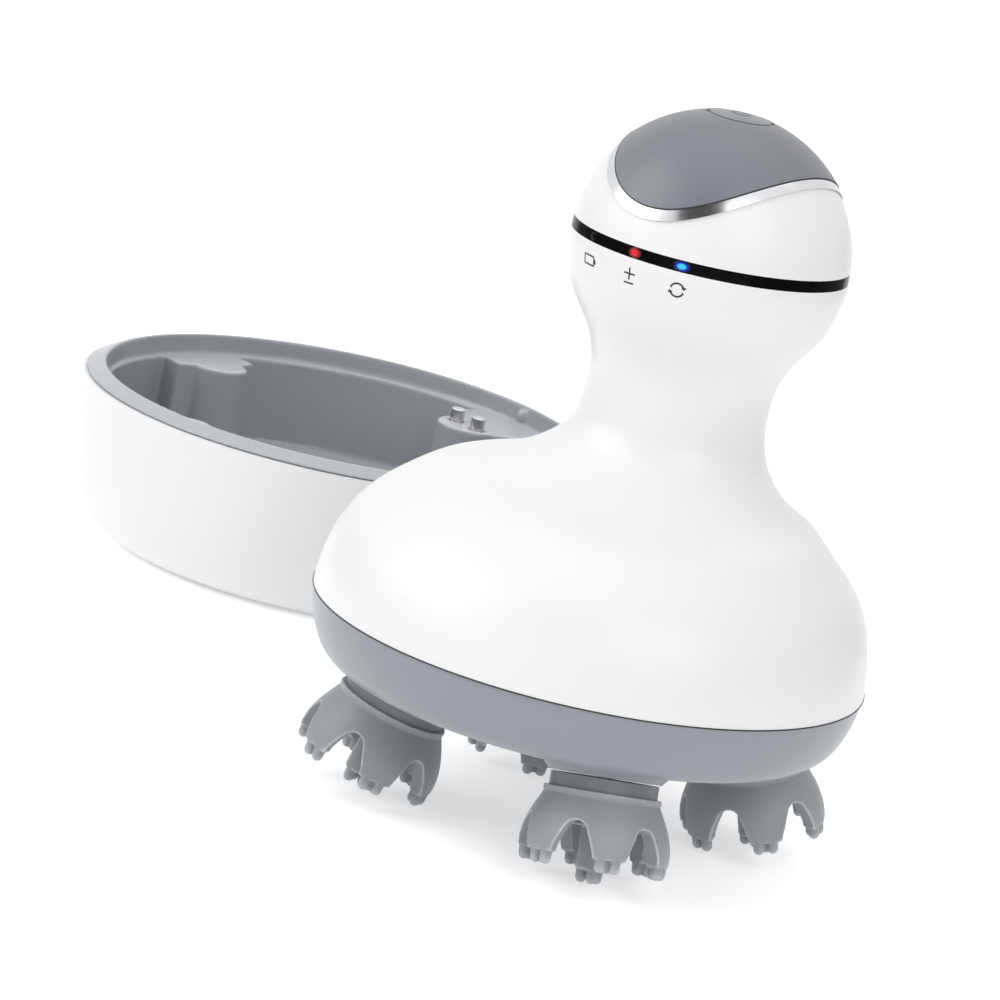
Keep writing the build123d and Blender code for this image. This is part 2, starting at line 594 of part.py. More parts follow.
def head_solid():
    """One silicone head in its own frame: cup, six claws, centre post and round tips."""
    side = [
        (LIP_RADIUS, 0.0),
        (LIP_RADIUS, -LIP_HEIGHT),
        (0.5 * (LIP_RADIUS + CLAW_RADIUS) - 1.9, -LIP_HEIGHT - 0.3),
        (0.5 * (LIP_RADIUS + CLAW_RADIUS) - 0.2, -0.35 * CLAW_LENGTH),
        (CLAW_RADIUS - 0.5, -0.62 * CLAW_LENGTH),
        (CLAW_RADIUS, -0.85 * CLAW_LENGTH),
        (CLAW_RADIUS - 0.1, CLAW_BOTTOM),
    ]
    curve = Spline(*[(r, 0, z) for r, z in side[2:]])
    rest = Polyline(*[(r, 0, z) for r, z in [side[-1], (0, CLAW_BOTTOM), (0, 0)] + side[:3]])
    cup = revolve(make_face([curve, rest]), Axis.Z)
    hollow_top = LIP_RADIUS - CUP_WALL
    hollow_foot = CLAW_RADIUS - CLAW_WALL
    cup -= turned(
        [
            (0, -CUP_WALL),
            (hollow_top - 1.2, -CUP_WALL),
            (hollow_top, -2 * CUP_WALL),
            (hollow_foot, CLAW_BOTTOM + 1),
            (hollow_foot, CLAW_BOTTOM - 1),
            (0, CLAW_BOTTOM - 1),
        ]
    )
    arch_half = ARCH_WIDTH / 2
    for turn in range(CLAW_COUNT):
        feet = [(-arch_half - 0.3, CLAW_BOTTOM - 1), (-arch_half, CLAW_BOTTOM + 1)]
        crown = (0, -ARCH_TOP)
        left = Spline(feet[1], (-arch_half * 0.62, -ARCH_TOP - 2.1), crown, tangents=[(0.25, 1), (1, 0)])
        right = mirror(left, about=Plane.YZ)
        base = Polyline(feet[1], feet[0], (-feet[0][0], feet[0][1]), (-feet[1][0], feet[1][1]))
        window = extrude(Plane.XZ * make_face([left, right, base]), 2 * CLAW_RADIUS)
        cup -= Rot(0, 0, 360 / CLAW_COUNT * turn) * window
    post_foot = CLAW_BOTTOM - POST_DROP
    cup += post(HUB_RADIUS + HUB_WALL, -HUB_DEPTH - HUB_WALL, -CUP_WALL / 2)
    cup += post(POST_TIP_RADIUS, post_foot, -HUB_DEPTH)
    cup -= post(HUB_RADIUS, -HUB_DEPTH, 1)
    tip = post(TIP_RADIUS, -TIP_DROP, TIP_LENGTH / 2) + Pos(0, 0, -TIP_DROP) * Sphere(TIP_RADIUS)
    inner_seat = TIP_SEAT - 1.1
    for turn in range(CLAW_COUNT):
        spoke = Rot(0, 0, 360 / CLAW_COUNT * turn)
        for x, y in ((TIP_SEAT, TIP_SPACING / 2), (TIP_SEAT, -TIP_SPACING / 2), (inner_seat, 0)):
            cup += spoke * Pos(x, y, CLAW_BOTTOM) * tip
    for turn in range(3):
        spoke = Rot(0, 0, 120 * turn)
        cup += spoke * Pos(POST_TIP_RADIUS - TIP_RADIUS - 0.1, 0, post_foot) * tip
    return cup


def make_heads():
    silicone = head_solid()
    carrier = post(COLLAR_RADIUS, 0, COLLAR_TOP) + post(HUB_RADIUS, -HUB_DEPTH, 0)
    carrier -= post(SPINDLE_RADIUS, -HUB_DEPTH + 1, COLLAR_TOP + 1)
    gear_top = HEAD_GEAR_LOCAL + BEVEL_FACE / 2
    spindle = post(SPINDLE_RADIUS, -HUB_DEPTH + 1, gear_top)
    bush = tube(BUSH_RADIUS, SPINDLE_RADIUS + SHAFT_CLEARANCE, BOSS_FOOT, HUB_TOP)
    gear = bevel_gear(HEAD_TEETH, HEAD_PITCH, HEAD_GEAR_LOCAL, BEVEL_FACE, APEX_LOCAL, 0)
    gear += post(BUSH_RADIUS + 1, HUB_TOP + RUNNING_GAP, HEAD_GEAR_LOCAL)
    gear -= post(SPINDLE_RADIUS, HUB_TOP, gear_top + 1)
    bushes = []
    for number, azimuth in enumerate(HEAD_AZIMUTHS, start=1):
        place = head_place(azimuth)
        parts[f"massage_head_{number}"] = place * Rot(0, 0, HEAD_PHASES[number - 1]) * silicone
        parts[f"head_carrier_{number}"] = place * carrier
        parts[f"head_spindle_{number}"] = place * spindle
        parts[f"head_gear_{number}"] = place * gear
        bushes.append(place * bush)
    parts["head_bushes"] = Compound(children=bushes)


def make_gears():
    to_idler = math.degrees(math.atan2(IDLER_RISE, IDLER_X))
    to_motor = math.degrees(math.atan2(HANDLE_OFFSET - IDLER_Y, -IDLER_X))
    sun_low = SUN_GEAR_Z - BEVEL_FACE / 2
    spur_pitch = SUN_SPUR_TEETH * SPUR_MODULE / 2
    spur_top = SUN_SPUR_Z + SPUR_FACE
    sun = bevel_gear(SUN_TEETH, SUN_PITCH, SUN_GEAR_Z, BEVEL_FACE, APEX_Z, 0)
    sun += post(2 * SUN_SHAFT_RADIUS, sun_low, spur_top)
    sun += spur_gear(SUN_SPUR_TEETH, spur_pitch, SUN_SPUR_Z, spur_top, to_idler)
    sun -= post(SUN_SHAFT_RADIUS + SHAFT_CLEARANCE, sun_low - 1, spur_top + 1)
    parts["sun_gear"] = Pos(0, PATTERN_OFFSET, 0) * sun
    parts["sun_shaft"] = post(SUN_SHAFT_RADIUS, UNDERSIDE_Z + 1, PLATE_TOP, 0, PATTERN_OFFSET)

    idler_top = IDLER_Z + IDLER_FACE
    pinion_pitch = IDLER_PINION_TEETH * SPUR_MODULE / 2
    pinion_phase = to_idler + 180 + 180 / IDLER_PINION_TEETH
    idler_pitch = IDLER_TEETH * SPUR_MODULE / 2
    idler = spur_gear(IDLER_TEETH, idler_pitch, IDLER_Z, idler_top, to_motor, IDLER_X, IDLER_Y)
    idler += spur_gear(IDLER_PINION_TEETH, pinion_pitch, SUN_SPUR_Z, IDLER_Z, pinion_phase, IDLER_X, IDLER_Y)
    idler -= post(IDLER_PIN_RADIUS + SHAFT_CLEARANCE, SUN_SPUR_Z - 1, idler_top + 1, IDLER_X, IDLER_Y)
    parts["reduction_gear"] = idler
    pin_foot = SUN_SPUR_Z - SHAFT_CLEARANCE
    pin = post(IDLER_PIN_RADIUS, pin_foot, PLATE_TOP, IDLER_X, IDLER_Y)
    pin += post(IDLER_PIN_RADIUS + 0.8, pin_foot - PIN_HEAD, pin_foot, IDLER_X, IDLER_Y)
    parts["reduction_pin"] = pin

    motor_phase = to_motor + 180 + 180 / MOTOR_TEETH
    motor_pitch = MOTOR_TEETH * SPUR_MODULE / 2
    pinion = spur_gear(MOTOR_TEETH, motor_pitch, IDLER_Z, idler_top, motor_phase, 0, HANDLE_OFFSET)
    pinion += post(MOTOR_SHAFT_RADIUS, IDLER_Z, PLATE_TOP + MOTOR_BORE_DEPTH, 0, HANDLE_OFFSET)
    parts["motor_pinion"] = pinion


def make_gearbox():
    plate = post(PLATE_RADIUS, PLATE_Z, PLATE_TOP)
    for x, y in SCREW_PLACES:
        plate -= post(SCREW_RADIUS + SHELL_GAP / 2, PLATE_Z - 1, PLATE_TOP + 1, x, y)
    for azimuth in HEAD_AZIMUTHS[:2] + HEAD_AZIMUTHS[3:]:
        angle = math.radians(azimuth)
        x = HEAD_GEAR_CIRCLE * math.cos(angle)
        y = HEAD_GEAR_CIRCLE * math.sin(angle)
        plate -= post(PLATE_WINDOW_RADIUS, PLATE_Z - 1, PLATE_TOP + 1, x, y)
    plate -= post(SUN_SHAFT_RADIUS, PLATE_Z - 1, PLATE_TOP + 1, 0, PATTERN_OFFSET)
    plate -= post(IDLER_PIN_RADIUS, PLATE_Z - 1, PLATE_TOP + 1, IDLER_X, IDLER_Y)
    plate -= post(MOTOR_NOSE_RADIUS, PLATE_Z - 1, PLATE_TOP + 1, 0, HANDLE_OFFSET)
    parts["gearbox_plate"] = plate

    motor = post(MOTOR_RADIUS, PLATE_TOP, PLATE_TOP + MOTOR_LENGTH, 0, HANDLE_OFFSET)
    motor += post(MOTOR_NOSE_RADIUS, PLATE_TOP - 1.5, PLATE_TOP, 0, HANDLE_OFFSET)
    bore_top = PLATE_TOP + MOTOR_BORE_DEPTH + SHAFT_CLEARANCE
    motor -= post(MOTOR_SHAFT_RADIUS + SHAFT_CLEARANCE, PLATE_Z, bore_top, 0, HANDLE_OFFSET)
    parts["motor"] = motor


# ---------------------------------------------------------------- dock
def on_dock(shape):
    """Moves a piece from the dock's own frame to where the dock stands."""
    return Pos(DOCK_X, DOCK_Y, 0) * Rot(0, 0, DOCK_YAW) * shape


def dock_screw_places():
    """Plan places of the dock's screws, one under each plain pillar."""
    turns = [math.radians(90 + 90 * turn) for turn in range(1, 4)]
    return [(DOCK_SCREW_CIRCLE * math.cos(a), DOCK_SCREW_CIRCLE * math.sin(a)) for a in turns]


def pillar_face(pillar, inset=0.0):
    """Plan outline of one pillar between two head recesses, on +Y."""
    reach, nose_radius, half_width = pillar
    tip = nose_radius - inset
    middle = reach + nose_radius
    half = half_width - inset
    wall_y = CAVITY_RADIUS + LINER_WALL / 2
    hip_y = max(middle + 1, wall_y - PILLAR_HIP)
    right = [(tip, middle + inset), (half, hip_y + inset), (half, wall_y)]
    left = [(-x, y) for x, y in reversed(right)]
    return Pos(0, middle) * Circle(tip) + make_face(Polyline(*(right + left), close=True))


def make_dock_shells():
    low = DOCK_FOOT_HEIGHT
    flank = [(DOCK_RADIUS * r, RIM_Z * h) for r, h in DOCK_FLANK] + [(DOCK_FLOOR_RADIUS, low)]
    edge = Spline(*[(r, 0, z) for r, z in flank])
    inner = Polyline((DOCK_FLOOR_RADIUS, 0, low), (0, 0, low), (0, 0, RIM_Z), (DOCK_RADIUS, 0, RIM_Z))
    solid = revolve(make_face([edge, inner]), Axis.Z)
    inner_lip = DOCK_FLOOR_RADIUS - DOCK_LIP
    hollow = [(r - DOCK_WALL, z) for r, z in flank[:-2]]
    hollow += [(DOCK_FLOOR_RADIUS + 1, DOCK_PLATE_TOP + 1), (inner_lip, DOCK_PLATE_TOP)]
    hollow += [(inner_lip, low - 1), (0, low - 1)]
    hollow += [(0, RIM_Z + 1), (DOCK_RADIUS - DOCK_WALL, RIM_Z + 1)]
    shell = solid - turned(hollow)
    socket_z = DOCK_BOARD_Z + BOARD_THICK
    socket_low = socket_z - SHELL_GAP / 2
    socket_high = socket_z + SOCKET_HEIGHT + SHELL_GAP / 2
    socket_cut = block(SOCKET_WIDTH + SHELL_GAP, SOCKET_CUT, socket_low, socket_high, 0, DOCK_RADIUS)
    parts["dock_shell"] = on_dock(shell - socket_cut)

    rim = turned(
        [
            (RIM_RADIUS + 1.0, RIM_Z),
            (DOCK_RADIUS, RIM_Z),
            (RIM_RADIUS + 0.5, DOCK_HEIGHT),
            (RIM_RADIUS, DOCK_HEIGHT),
            (RIM_RADIUS - 0.4, LEDGE_Z),
            (CAVITY_RADIUS, LEDGE_Z),
            (CAVITY_RADIUS, PILLAR_ROOF),
            (RIM_RADIUS + 1.0, PILLAR_ROOF),
        ]
    )
    floor_low = CAVITY_FLOOR_Z - LINER_WALL
    corner = CAVITY_CORNER
    tub = turned(
        [
            (0, floor_low),
            (LINER_RADIUS - corner, floor_low),
            (LINER_RADIUS, floor_low + corner + 1),
            (LINER_RADIUS, LEDGE_Z),
            (CAVITY_RADIUS, LEDGE_Z),
            (CAVITY_RADIUS, CAVITY_FLOOR_Z + corner + 1),
            (CAVITY_RADIUS - corner, CAVITY_FLOOR_Z),
            (0, CAVITY_FLOOR_Z),
        ]
    )
    liner = rim + tub
    liner += post(FLOOR_DISC_RADIUS, floor_low, CAVITY_FLOOR_Z + FLOOR_DISC_HEIGHT)
    bound = turned(
        [
            (0, floor_low),
            (LINER_RADIUS - corner, floor_low),
            (LINER_RADIUS, floor_low + corner + 1),
            (LINER_RADIUS, LEDGE_Z),
            (0, LEDGE_Z),
        ]
    )
    room_bound = turned(
        [
            (0, floor_low - 1),
            (LINER_RADIUS - corner - 2, floor_low - 1),
            (LINER_RADIUS - corner - 2, floor_low),
            (CAVITY_RADIUS, floor_low + corner + 2.6),
            (CAVITY_RADIUS, PILLAR_ROOF),
            (0, PILLAR_ROOF),
        ]
    )
    for turn in range(4):
        pillar = PIN_PILLAR if turn == 0 else PLAIN_PILLAR
        full = Pos(0, 0, floor_low) * extrude(pillar_face(pillar), LEDGE_Z - floor_low)
        room = Pos(0, 0, floor_low - 1) * extrude(pillar_face(pillar, LINER_WALL), LEDGE_Z)
        liner += Rot(0, 0, 90 * turn) * (full & bound)
        liner -= Rot(0, 0, 90 * turn) * (room & room_bound)
    for x, y in dock_screw_places():
        liner += post(DOCK_BOSS_RADIUS, DOCK_PLATE_TOP, PILLAR_ROOF + 0.5, x, y)
        liner -= post(DOCK_SCREW_RADIUS, DOCK_PLATE_TOP - 1, DOCK_PLATE_TOP + DOCK_SCREW_BITE, x, y)
    for x, y in CONTACT_PLACES:
        liner -= post(DOCK_PIN_RADIUS + 2 * SHAFT_CLEARANCE, PILLAR_ROOF - 1, LEDGE_Z + 1, x, y)
    rib = Pos(0, RIM_RADIUS - 0.2, (LEDGE_Z + DOCK_HEIGHT) / 2 - 0.3) * Sphere(NOTCH_RADIUS - 0.8)
    liner += rib & post(RIM_RADIUS, LEDGE_Z, DOCK_HEIGHT)
    parts["dock_liner"] = on_dock(liner - socket_cut)


def make_dock_power():
    for number, (x, y) in enumerate(CONTACT_PLACES, start=1):
        top = LEDGE_Z + DOCK_PIN_RISE
        pin = post(DOCK_PIN_RADIUS, PIN_FOOT, top, x, y)
        pin = chamfer(pin.edges().group_by(Axis.Z)[-1], 0.25)
        parts[f"charging_pin_{number}"] = on_dock(pin)
        coil_radius = DOCK_PIN_RADIUS - SPRING_WIRE - SHAFT_CLEARANCE
        coil_low = BARREL_FOOT + BARREL_WALL + SPRING_WIRE
        coil_height = PIN_FOOT - SPRING_WIRE - coil_low
        path = Helix(pitch=coil_height / SPRING_TURNS, height=coil_height, radius=coil_radius)
        start = Plane(origin=path @ 0, z_dir=path % 0)
        coil = sweep(start * Circle(SPRING_WIRE), path=path, is_frenet=True)
        parts[f"pin_spring_{number}"] = on_dock(Pos(x, y, coil_low) * coil)
    barrels = []
    for x, y in CONTACT_PLACES:
        bore = DOCK_PIN_RADIUS + SHAFT_CLEARANCE
        barrel = post(bore + BARREL_WALL, BARREL_FOOT, PILLAR_ROOF, x, y)
        barrel -= post(bore, BARREL_FOOT + BARREL_WALL, PILLAR_ROOF + 1, x, y)
        barrel += post(BARREL_WALL / 2, DOCK_BOARD_Z + BOARD_THICK, BARREL_FOOT + BARREL_WALL / 2, x, y)
        barrels.append(on_dock(barrel))
    parts["pin_barrels"] = Compound(children=barrels)

    board_y = CONTACT_CIRCLE - 2 + DOCK_BOARD_DEPTH / 2
    board = block(DOCK_BOARD_WIDTH, DOCK_BOARD_DEPTH, DOCK_BOARD_Z, DOCK_BOARD_Z + BOARD_THICK, 0, board_y)
    parts["dock_board"] = on_dock(board)
    low = DOCK_BOARD_Z + BOARD_THICK
    socket_back = board_y + DOCK_BOARD_DEPTH / 2 + 3.0
    socket_y = socket_back - SOCKET_DEPTH / 2
    socket = block(SOCKET_WIDTH, SOCKET_DEPTH, low, low + SOCKET_HEIGHT, 0, socket_y)
    socket = fillet(socket.edges().filter_by(Axis.Y), 1.4)
    mouth = block(SOCKET_WIDTH - 0.8, SOCKET_DEPTH, low + 0.4, low + SOCKET_HEIGHT - 0.4, 0, socket_y + 1.2)
    tongue_z = low + SOCKET_HEIGHT / 2
    tongue = block(6.4, SOCKET_DEPTH - 2, tongue_z - 0.35, tongue_z + 0.35, 0, socket_y - 0.6)
    parts["usb_socket"] = on_dock((socket - mouth) + tongue)


def make_dock_base():
    plate = post(DOCK_FLOOR_RADIUS - DOCK_LIP - SHELL_GAP, DOCK_PLATE_Z, DOCK_PLATE_TOP)
    screws = []
    for x, y in dock_screw_places():
        sink = DOCK_PLATE_Z + DOCK_SCREW_HEAD
        head = 2 * DOCK_SCREW_RADIUS
        plate -= post(head, DOCK_PLATE_Z - 1, sink, x, y)
        plate -= post(DOCK_SCREW_RADIUS + SHELL_GAP / 2, DOCK_PLATE_Z, DOCK_PLATE_TOP + 1, x, y)
        screw = post(head - SHELL_GAP / 2, DOCK_PLATE_Z + SHELL_GAP / 2, sink, x, y)
        screw -= block(3.0, 0.7, DOCK_PLATE_Z, sink - 0.5, x, y)
        screw -= block(0.7, 3.0, DOCK_PLATE_Z, sink - 0.5, x, y)
        screw += post(DOCK_SCREW_RADIUS, sink - 0.4, DOCK_PLATE_TOP + DOCK_SCREW_BITE, x, y)
        screws.append(on_dock(screw))
    parts["dock_screws"] = Compound(children=screws)
    feet = []
    for turn in range(4):
        angle = math.radians(45 + 90 * turn)
        x = FOOT_CIRCLE * math.cos(angle)
        y = FOOT_CIRCLE * math.sin(angle)
        foot = post(FOOT_RADIUS, 0, DOCK_PLATE_Z, x, y)
        feet.append(on_dock(fillet(foot.edges().group_by(Axis.Z)[0], 0.5)))
    parts["dock_base_plate"] = on_dock(plate)
    parts["dock_feet"] = Compound(children=feet)


make_housing()
make_indicators()
make_top()
make_button()
make_power()
make_base_ring()
make_heads()
make_gears()
make_gearbox()
make_dock_shells()
make_dock_power()
make_dock_base()

os.makedirs("parts", exist_ok=True)
for name, shape in parts.items():
    export_step(shape, f"parts/{name}.step")
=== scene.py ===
"""Looks, camera and stage of the electric scalp massager and its dock, around the CAD frame."""

import math

import bpy
import numpy as np
from mathutils import Matrix, Vector
from mathutils.bvhtree import BVHTree


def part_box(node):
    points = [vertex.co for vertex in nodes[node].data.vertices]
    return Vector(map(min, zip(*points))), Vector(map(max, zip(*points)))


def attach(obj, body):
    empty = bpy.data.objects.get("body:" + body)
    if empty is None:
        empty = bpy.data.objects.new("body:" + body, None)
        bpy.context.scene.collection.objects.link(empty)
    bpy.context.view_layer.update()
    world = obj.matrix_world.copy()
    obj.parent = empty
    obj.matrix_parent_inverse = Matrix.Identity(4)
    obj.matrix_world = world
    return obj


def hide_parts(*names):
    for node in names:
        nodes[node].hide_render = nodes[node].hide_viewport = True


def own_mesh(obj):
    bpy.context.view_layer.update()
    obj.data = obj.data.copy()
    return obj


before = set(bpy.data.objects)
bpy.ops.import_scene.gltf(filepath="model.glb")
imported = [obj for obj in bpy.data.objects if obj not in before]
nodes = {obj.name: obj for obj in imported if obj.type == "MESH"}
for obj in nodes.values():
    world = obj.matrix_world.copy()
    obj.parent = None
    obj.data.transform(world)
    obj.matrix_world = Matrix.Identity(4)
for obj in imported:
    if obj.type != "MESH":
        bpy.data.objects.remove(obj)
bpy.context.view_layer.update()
scene = bpy.context.scene

MM = 0.001
UP = Vector((0.0, 0.0, 1.0))

# ---------------------------------------------------------------- places read off the frame
band_low, band_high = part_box("indicator_band")
BALL = Vector((0.0, (band_low.y + band_high.y) / 2, band_low.z))
BALL_R = (band_high.y - band_low.y) / 2
BAND_MID = (band_low.z + band_high.z) / 2
body_low, body_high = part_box("main_body")
SEAM_Z = body_low.z
BASE_R = (body_high.x - body_low.x) / 2
BUTTON_TOP_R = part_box("power_button")[1].z - BALL.z
LED_STEP = math.radians(22.2)  # from one light pipe to the next, as in the CAD

# ---------------------------------------------------------------- shader building
NOISE_RANGE = (0.25, 0.75)  # where nearly all values of the noise texture lie
MIX_FACTOR, MIX_A, MIX_B, MIX_RESULT = 0, 6, 7, 2  # colour sockets of the mix node
CLOUD_SCALE = 26.0  # noise cells per metre, as in all scales and grains below
PLASTIC_WANDER = 0.03
COAT_ROUGH = 0.08
BULGE_FLAT, BULGE_EDGE = 0.02, 0.10
TOP_STARTS, TOP_FULL = 0.55, 0.95
METAL_CLOUD, METAL_GRAIN, METAL_DARKER = 60.0, 900.0, 0.93
METAL_SMOOTHEST = 0.02
LENS_BLACK, LENS_GLASS, LENS_GLOSS = (0.001, 0.001, 0.002, 1), (0.006, 0.006, 0.007, 1), 0.15
CENTRE_STOP, RIM_STOP, BLACK_STOP = 0.38, 0.62, 0.98


def new_material(name):
    mat = bpy.data.materials.new(name)
    mat.use_nodes = True
    tree = mat.node_tree
    tree.nodes.clear()
    out = tree.nodes.new("ShaderNodeOutputMaterial")
    bsdf = tree.nodes.new("ShaderNodeBsdfPrincipled")
    tree.links.new(bsdf.outputs["BSDF"], out.inputs["Surface"])
    return mat, tree, bsdf


def principled(mat):
    return next(n for n in mat.node_tree.nodes if n.type == "BSDF_PRINCIPLED")


def texture_place(tree):
    return tree.nodes.new("ShaderNodeTexCoord").outputs["Object"]


def noise(tree, scale, detail):
    n = tree.nodes.new("ShaderNodeTexNoise")
    n.inputs["Scale"].default_value = scale
    n.inputs["Detail"].default_value = detail
    n.inputs["Roughness"].default_value = 0.5
    tree.links.new(texture_place(tree), n.inputs["Vector"])
    return n.outputs["Fac"]


def map_range(tree, value, low, high):
    n = tree.nodes.new("ShaderNodeMapRange")
    n.inputs["From Min"].default_value, n.inputs["From Max"].default_value = NOISE_RANGE
    n.inputs["To Min"].default_value = low
    n.inputs["To Max"].default_value = high
    tree.links.new(value, n.inputs["Value"])
    return n.outputs["Result"]


def ramp(tree, value, low, high):
    """Black up to low, white from high."""
    n = tree.nodes.new("ShaderNodeValToRGB")
    n.color_ramp.elements[0].position = low
    n.color_ramp.elements[1].position = high
    tree.links.new(value, n.inputs["Fac"])
    return n.outputs["Color"]


def mix_colour(tree, factor, a, b):
    """Each of the two colours is a tuple or a socket; the factor is a socket."""
    n = tree.nodes.new("ShaderNodeMix")
    n.data_type = "RGBA"
    tree.links.new(factor, n.inputs[MIX_FACTOR])
    for socket, value in ((n.inputs[MIX_A], a), (n.inputs[MIX_B], b)):
        if isinstance(value, tuple):
            socket.default_value = (*value, 1.0)
        else:
            tree.links.new(value, socket)
    return n.outputs[MIX_RESULT]


def bump(tree, height, distance):
    n = tree.nodes.new("ShaderNodeBump")
    n.inputs["Distance"].default_value = distance
    n.inputs["Strength"].default_value = 0.5
    tree.links.new(height, n.inputs["Height"])
    return n.outputs["Normal"]


def plastic(
    name, colour, rough, grain=3200.0, grain_depth=0.00002, coat=0.0, mottle=0.03, edge_highlight=0.0, shine=0.5
):
    """Moulded plastic: faint mottling, a fine mould grain in the bump and in the gloss.

    A painted highlight: parts that stand out from their surroundings are lighter by the edge amount.
    """
    mat, tree, bsdf = new_material(name)
    cloud = noise(tree, CLOUD_SCALE, detail=4.0)
    dark = tuple(c * (1 - mottle) for c in colour)
    light = tuple(min(1.0, c * (1 + mottle)) for c in colour)
    base = mix_colour(tree, cloud, dark, light)
    # Painted highlight: what stands out of the surface is mixed towards a lighter colour.
    if edge_highlight:
        stored = tree.nodes.new("ShaderNodeAttribute")
        stored.attribute_name = "bulge"
        highlight_colour = tuple(min(1.0, c + edge_highlight) for c in colour)
        highlight_mask = ramp(tree, stored.outputs["Fac"], BULGE_FLAT, BULGE_EDGE)
        base = mix_colour(tree, highlight_mask, base, highlight_colour)
    tree.links.new(base, bsdf.inputs["Base Color"])
    fine = noise(tree, grain, detail=2.0)
    gloss = map_range(tree, fine, rough - PLASTIC_WANDER, rough + PLASTIC_WANDER)
    tree.links.new(gloss, bsdf.inputs["Roughness"])
    tree.links.new(bump(tree, fine, grain_depth), bsdf.inputs["Normal"])
    bsdf.inputs["Specular IOR Level"].default_value = shine
    bsdf.inputs["Coat Weight"].default_value = coat
    bsdf.inputs["Coat Roughness"].default_value = COAT_ROUGH
    return mat


def paint_lit_tops(mat, colour):
    """Painted light: faces that look up are given a lighter colour, as if lit from above."""
    tree = mat.node_tree
    base = principled(mat).inputs["Base Color"]
    below = base.links[0].from_socket
    split = tree.nodes.new("ShaderNodeSeparateXYZ")
    tree.links.new(tree.nodes.new("ShaderNodeNewGeometry").outputs["True Normal"], split.inputs[0])
    upward = ramp(tree, split.outputs["Z"], TOP_STARTS, TOP_FULL)
    tree.links.new(mix_colour(tree, upward, below, colour), base)


def silicone(name, colour):
    """Moulded silicone: satin, with a faint powdery grain and a painted highlight on its edges."""
    mat = plastic(name, colour, 0.46, grain=2600.0, grain_depth=0.00003, mottle=0.05, edge_highlight=0.24)
    bsdf = principled(mat)
    bsdf.inputs["Subsurface Weight"].default_value = 0.12
    bsdf.inputs["Subsurface Radius"].default_value = (0.0012, 0.0012, 0.0013)
    bsdf.inputs["Subsurface Scale"].default_value = 1.0
    bsdf.inputs["Sheen Weight"].default_value = 0.15
    return mat


def metal(name, colour, rough, streak=0.0, wander=0.04):
    mat, tree, bsdf = new_material(name)
    bsdf.inputs["Metallic"].default_value = 1.0
    cloud = noise(tree, METAL_CLOUD, detail=3.0)
    darker = tuple(c * METAL_DARKER for c in colour)
    tree.links.new(mix_colour(tree, cloud, darker, colour), bsdf.inputs["Base Color"])
    fine = noise(tree, METAL_GRAIN, detail=2.0)
    gloss = map_range(tree, fine, max(METAL_SMOOTHEST, rough - wander), rough + wander + streak)
    tree.links.new(gloss, bsdf.inputs["Roughness"])
    return mat


def glow(name, rim, centre, radius, stretch):
    """A lit lens: a bright centre that falls off to its own colour, and to black at its edge."""
    mat, tree, bsdf = new_material(name)
    squeeze = tree.nodes.new("ShaderNodeVectorMath")
    squeeze.operation = "MULTIPLY"
    squeeze.inputs[1].default_value = (1 / stretch, 1, 0)
    tree.links.new(texture_place(tree), squeeze.inputs[0])
    length = tree.nodes.new("ShaderNodeVectorMath")
    length.operation = "LENGTH"
    tree.links.new(squeeze.outputs[0], length.inputs[0])
    scaled = tree.nodes.new("ShaderNodeMapRange")
    scaled.inputs["From Max"].default_value = radius
    tree.links.new(length.outputs["Value"], scaled.inputs["Value"])
    fall = tree.nodes.new("ShaderNodeValToRGB")
    stops = fall.color_ramp.elements
    stops[0].position, stops[0].color = CENTRE_STOP, (*centre, 1)
    stops[1].position, stops[1].color = BLACK_STOP, LENS_BLACK
    stops.new(RIM_STOP).color = (*rim, 1)
    tree.links.new(scaled.outputs["Result"], fall.inputs["Fac"])
    tree.links.new(fall.outputs["Color"], bsdf.inputs["Emission Color"])
    bsdf.inputs["Base Color"].default_value = LENS_GLASS
    bsdf.inputs["Emission Strength"].default_value = 1.0
    bsdf.inputs["Roughness"].default_value = LENS_GLOSS
    bsdf.inputs["Specular IOR Level"].default_value = LENS_GLOSS
    return mat


# ---------------------------------------------------------------- materials
WHITE_FINISH = {"grain": 2400.0, "grain_depth": 0.000004, "coat": 0.08, "mottle": 0.006, "shine": 0.4}
WHITE = plastic("white_abs", (0.885, 0.886, 0.89), 0.36, **WHITE_FINISH)
DOCK_WHITE = plastic("dock_white", (0.88, 0.882, 0.886), 0.38, **WHITE_FINISH)
COVER = plastic("cover_grey", (0.193, 0.203, 0.228), 0.38, 1500.0, 0.00004)
BUTTON = plastic("button_grey", (0.22, 0.23, 0.255), 0.36, 1500.0, 0.00003)
RING = plastic("ring_grey", (0.285, 0.305, 0.335), 0.34, 1500.0, 0.00003, coat=0.1, mottle=0.02)
LINER = plastic("liner_grey", (0.34, 0.355, 0.38), 0.36, 1500.0, 0.00004, coat=0.3)
# Painted light on the liner: its upward faces get a lighter grey.
paint_lit_tops(LINER, (0.52, 0.535, 0.56))
SILICONE = silicone("head_silicone", (0.315, 0.33, 0.35))
CARRIER = plastic("carrier_grey", (0.21, 0.22, 0.24), 0.4)
BAND = plastic("band_black", (0.003, 0.003, 0.0035), 0.12, 900.0, 0.000004, mottle=0.1, shine=0.04)
DARK = plastic("dark_abs", (0.03, 0.03, 0.033), 0.45)
RUBBER = plastic("foot_rubber", (0.05, 0.05, 0.05), 0.7, 1200.0, 0.00006)
ACETAL = plastic("acetal", (0.72, 0.70, 0.64), 0.35)
BOARD = plastic("board_green", (0.02, 0.12, 0.05), 0.35, 600.0, 0.00003, coat=0.3, mottle=0.2)
WRAP = plastic("cell_wrap", (0.06, 0.16, 0.42), 0.3, 300.0, 0.00002, coat=0.4, mottle=0.08)
CHROME = metal("chrome", (0.71, 0.72, 0.735), 0.20, wander=0.01)
STEEL = metal("steel", (0.62, 0.62, 0.63), 0.26, streak=0.05)
GOLD = metal("contact_gold", (0.86, 0.68, 0.34), 0.22)
INK = plastic("symbol_ink", (0.012, 0.012, 0.014), 0.5)
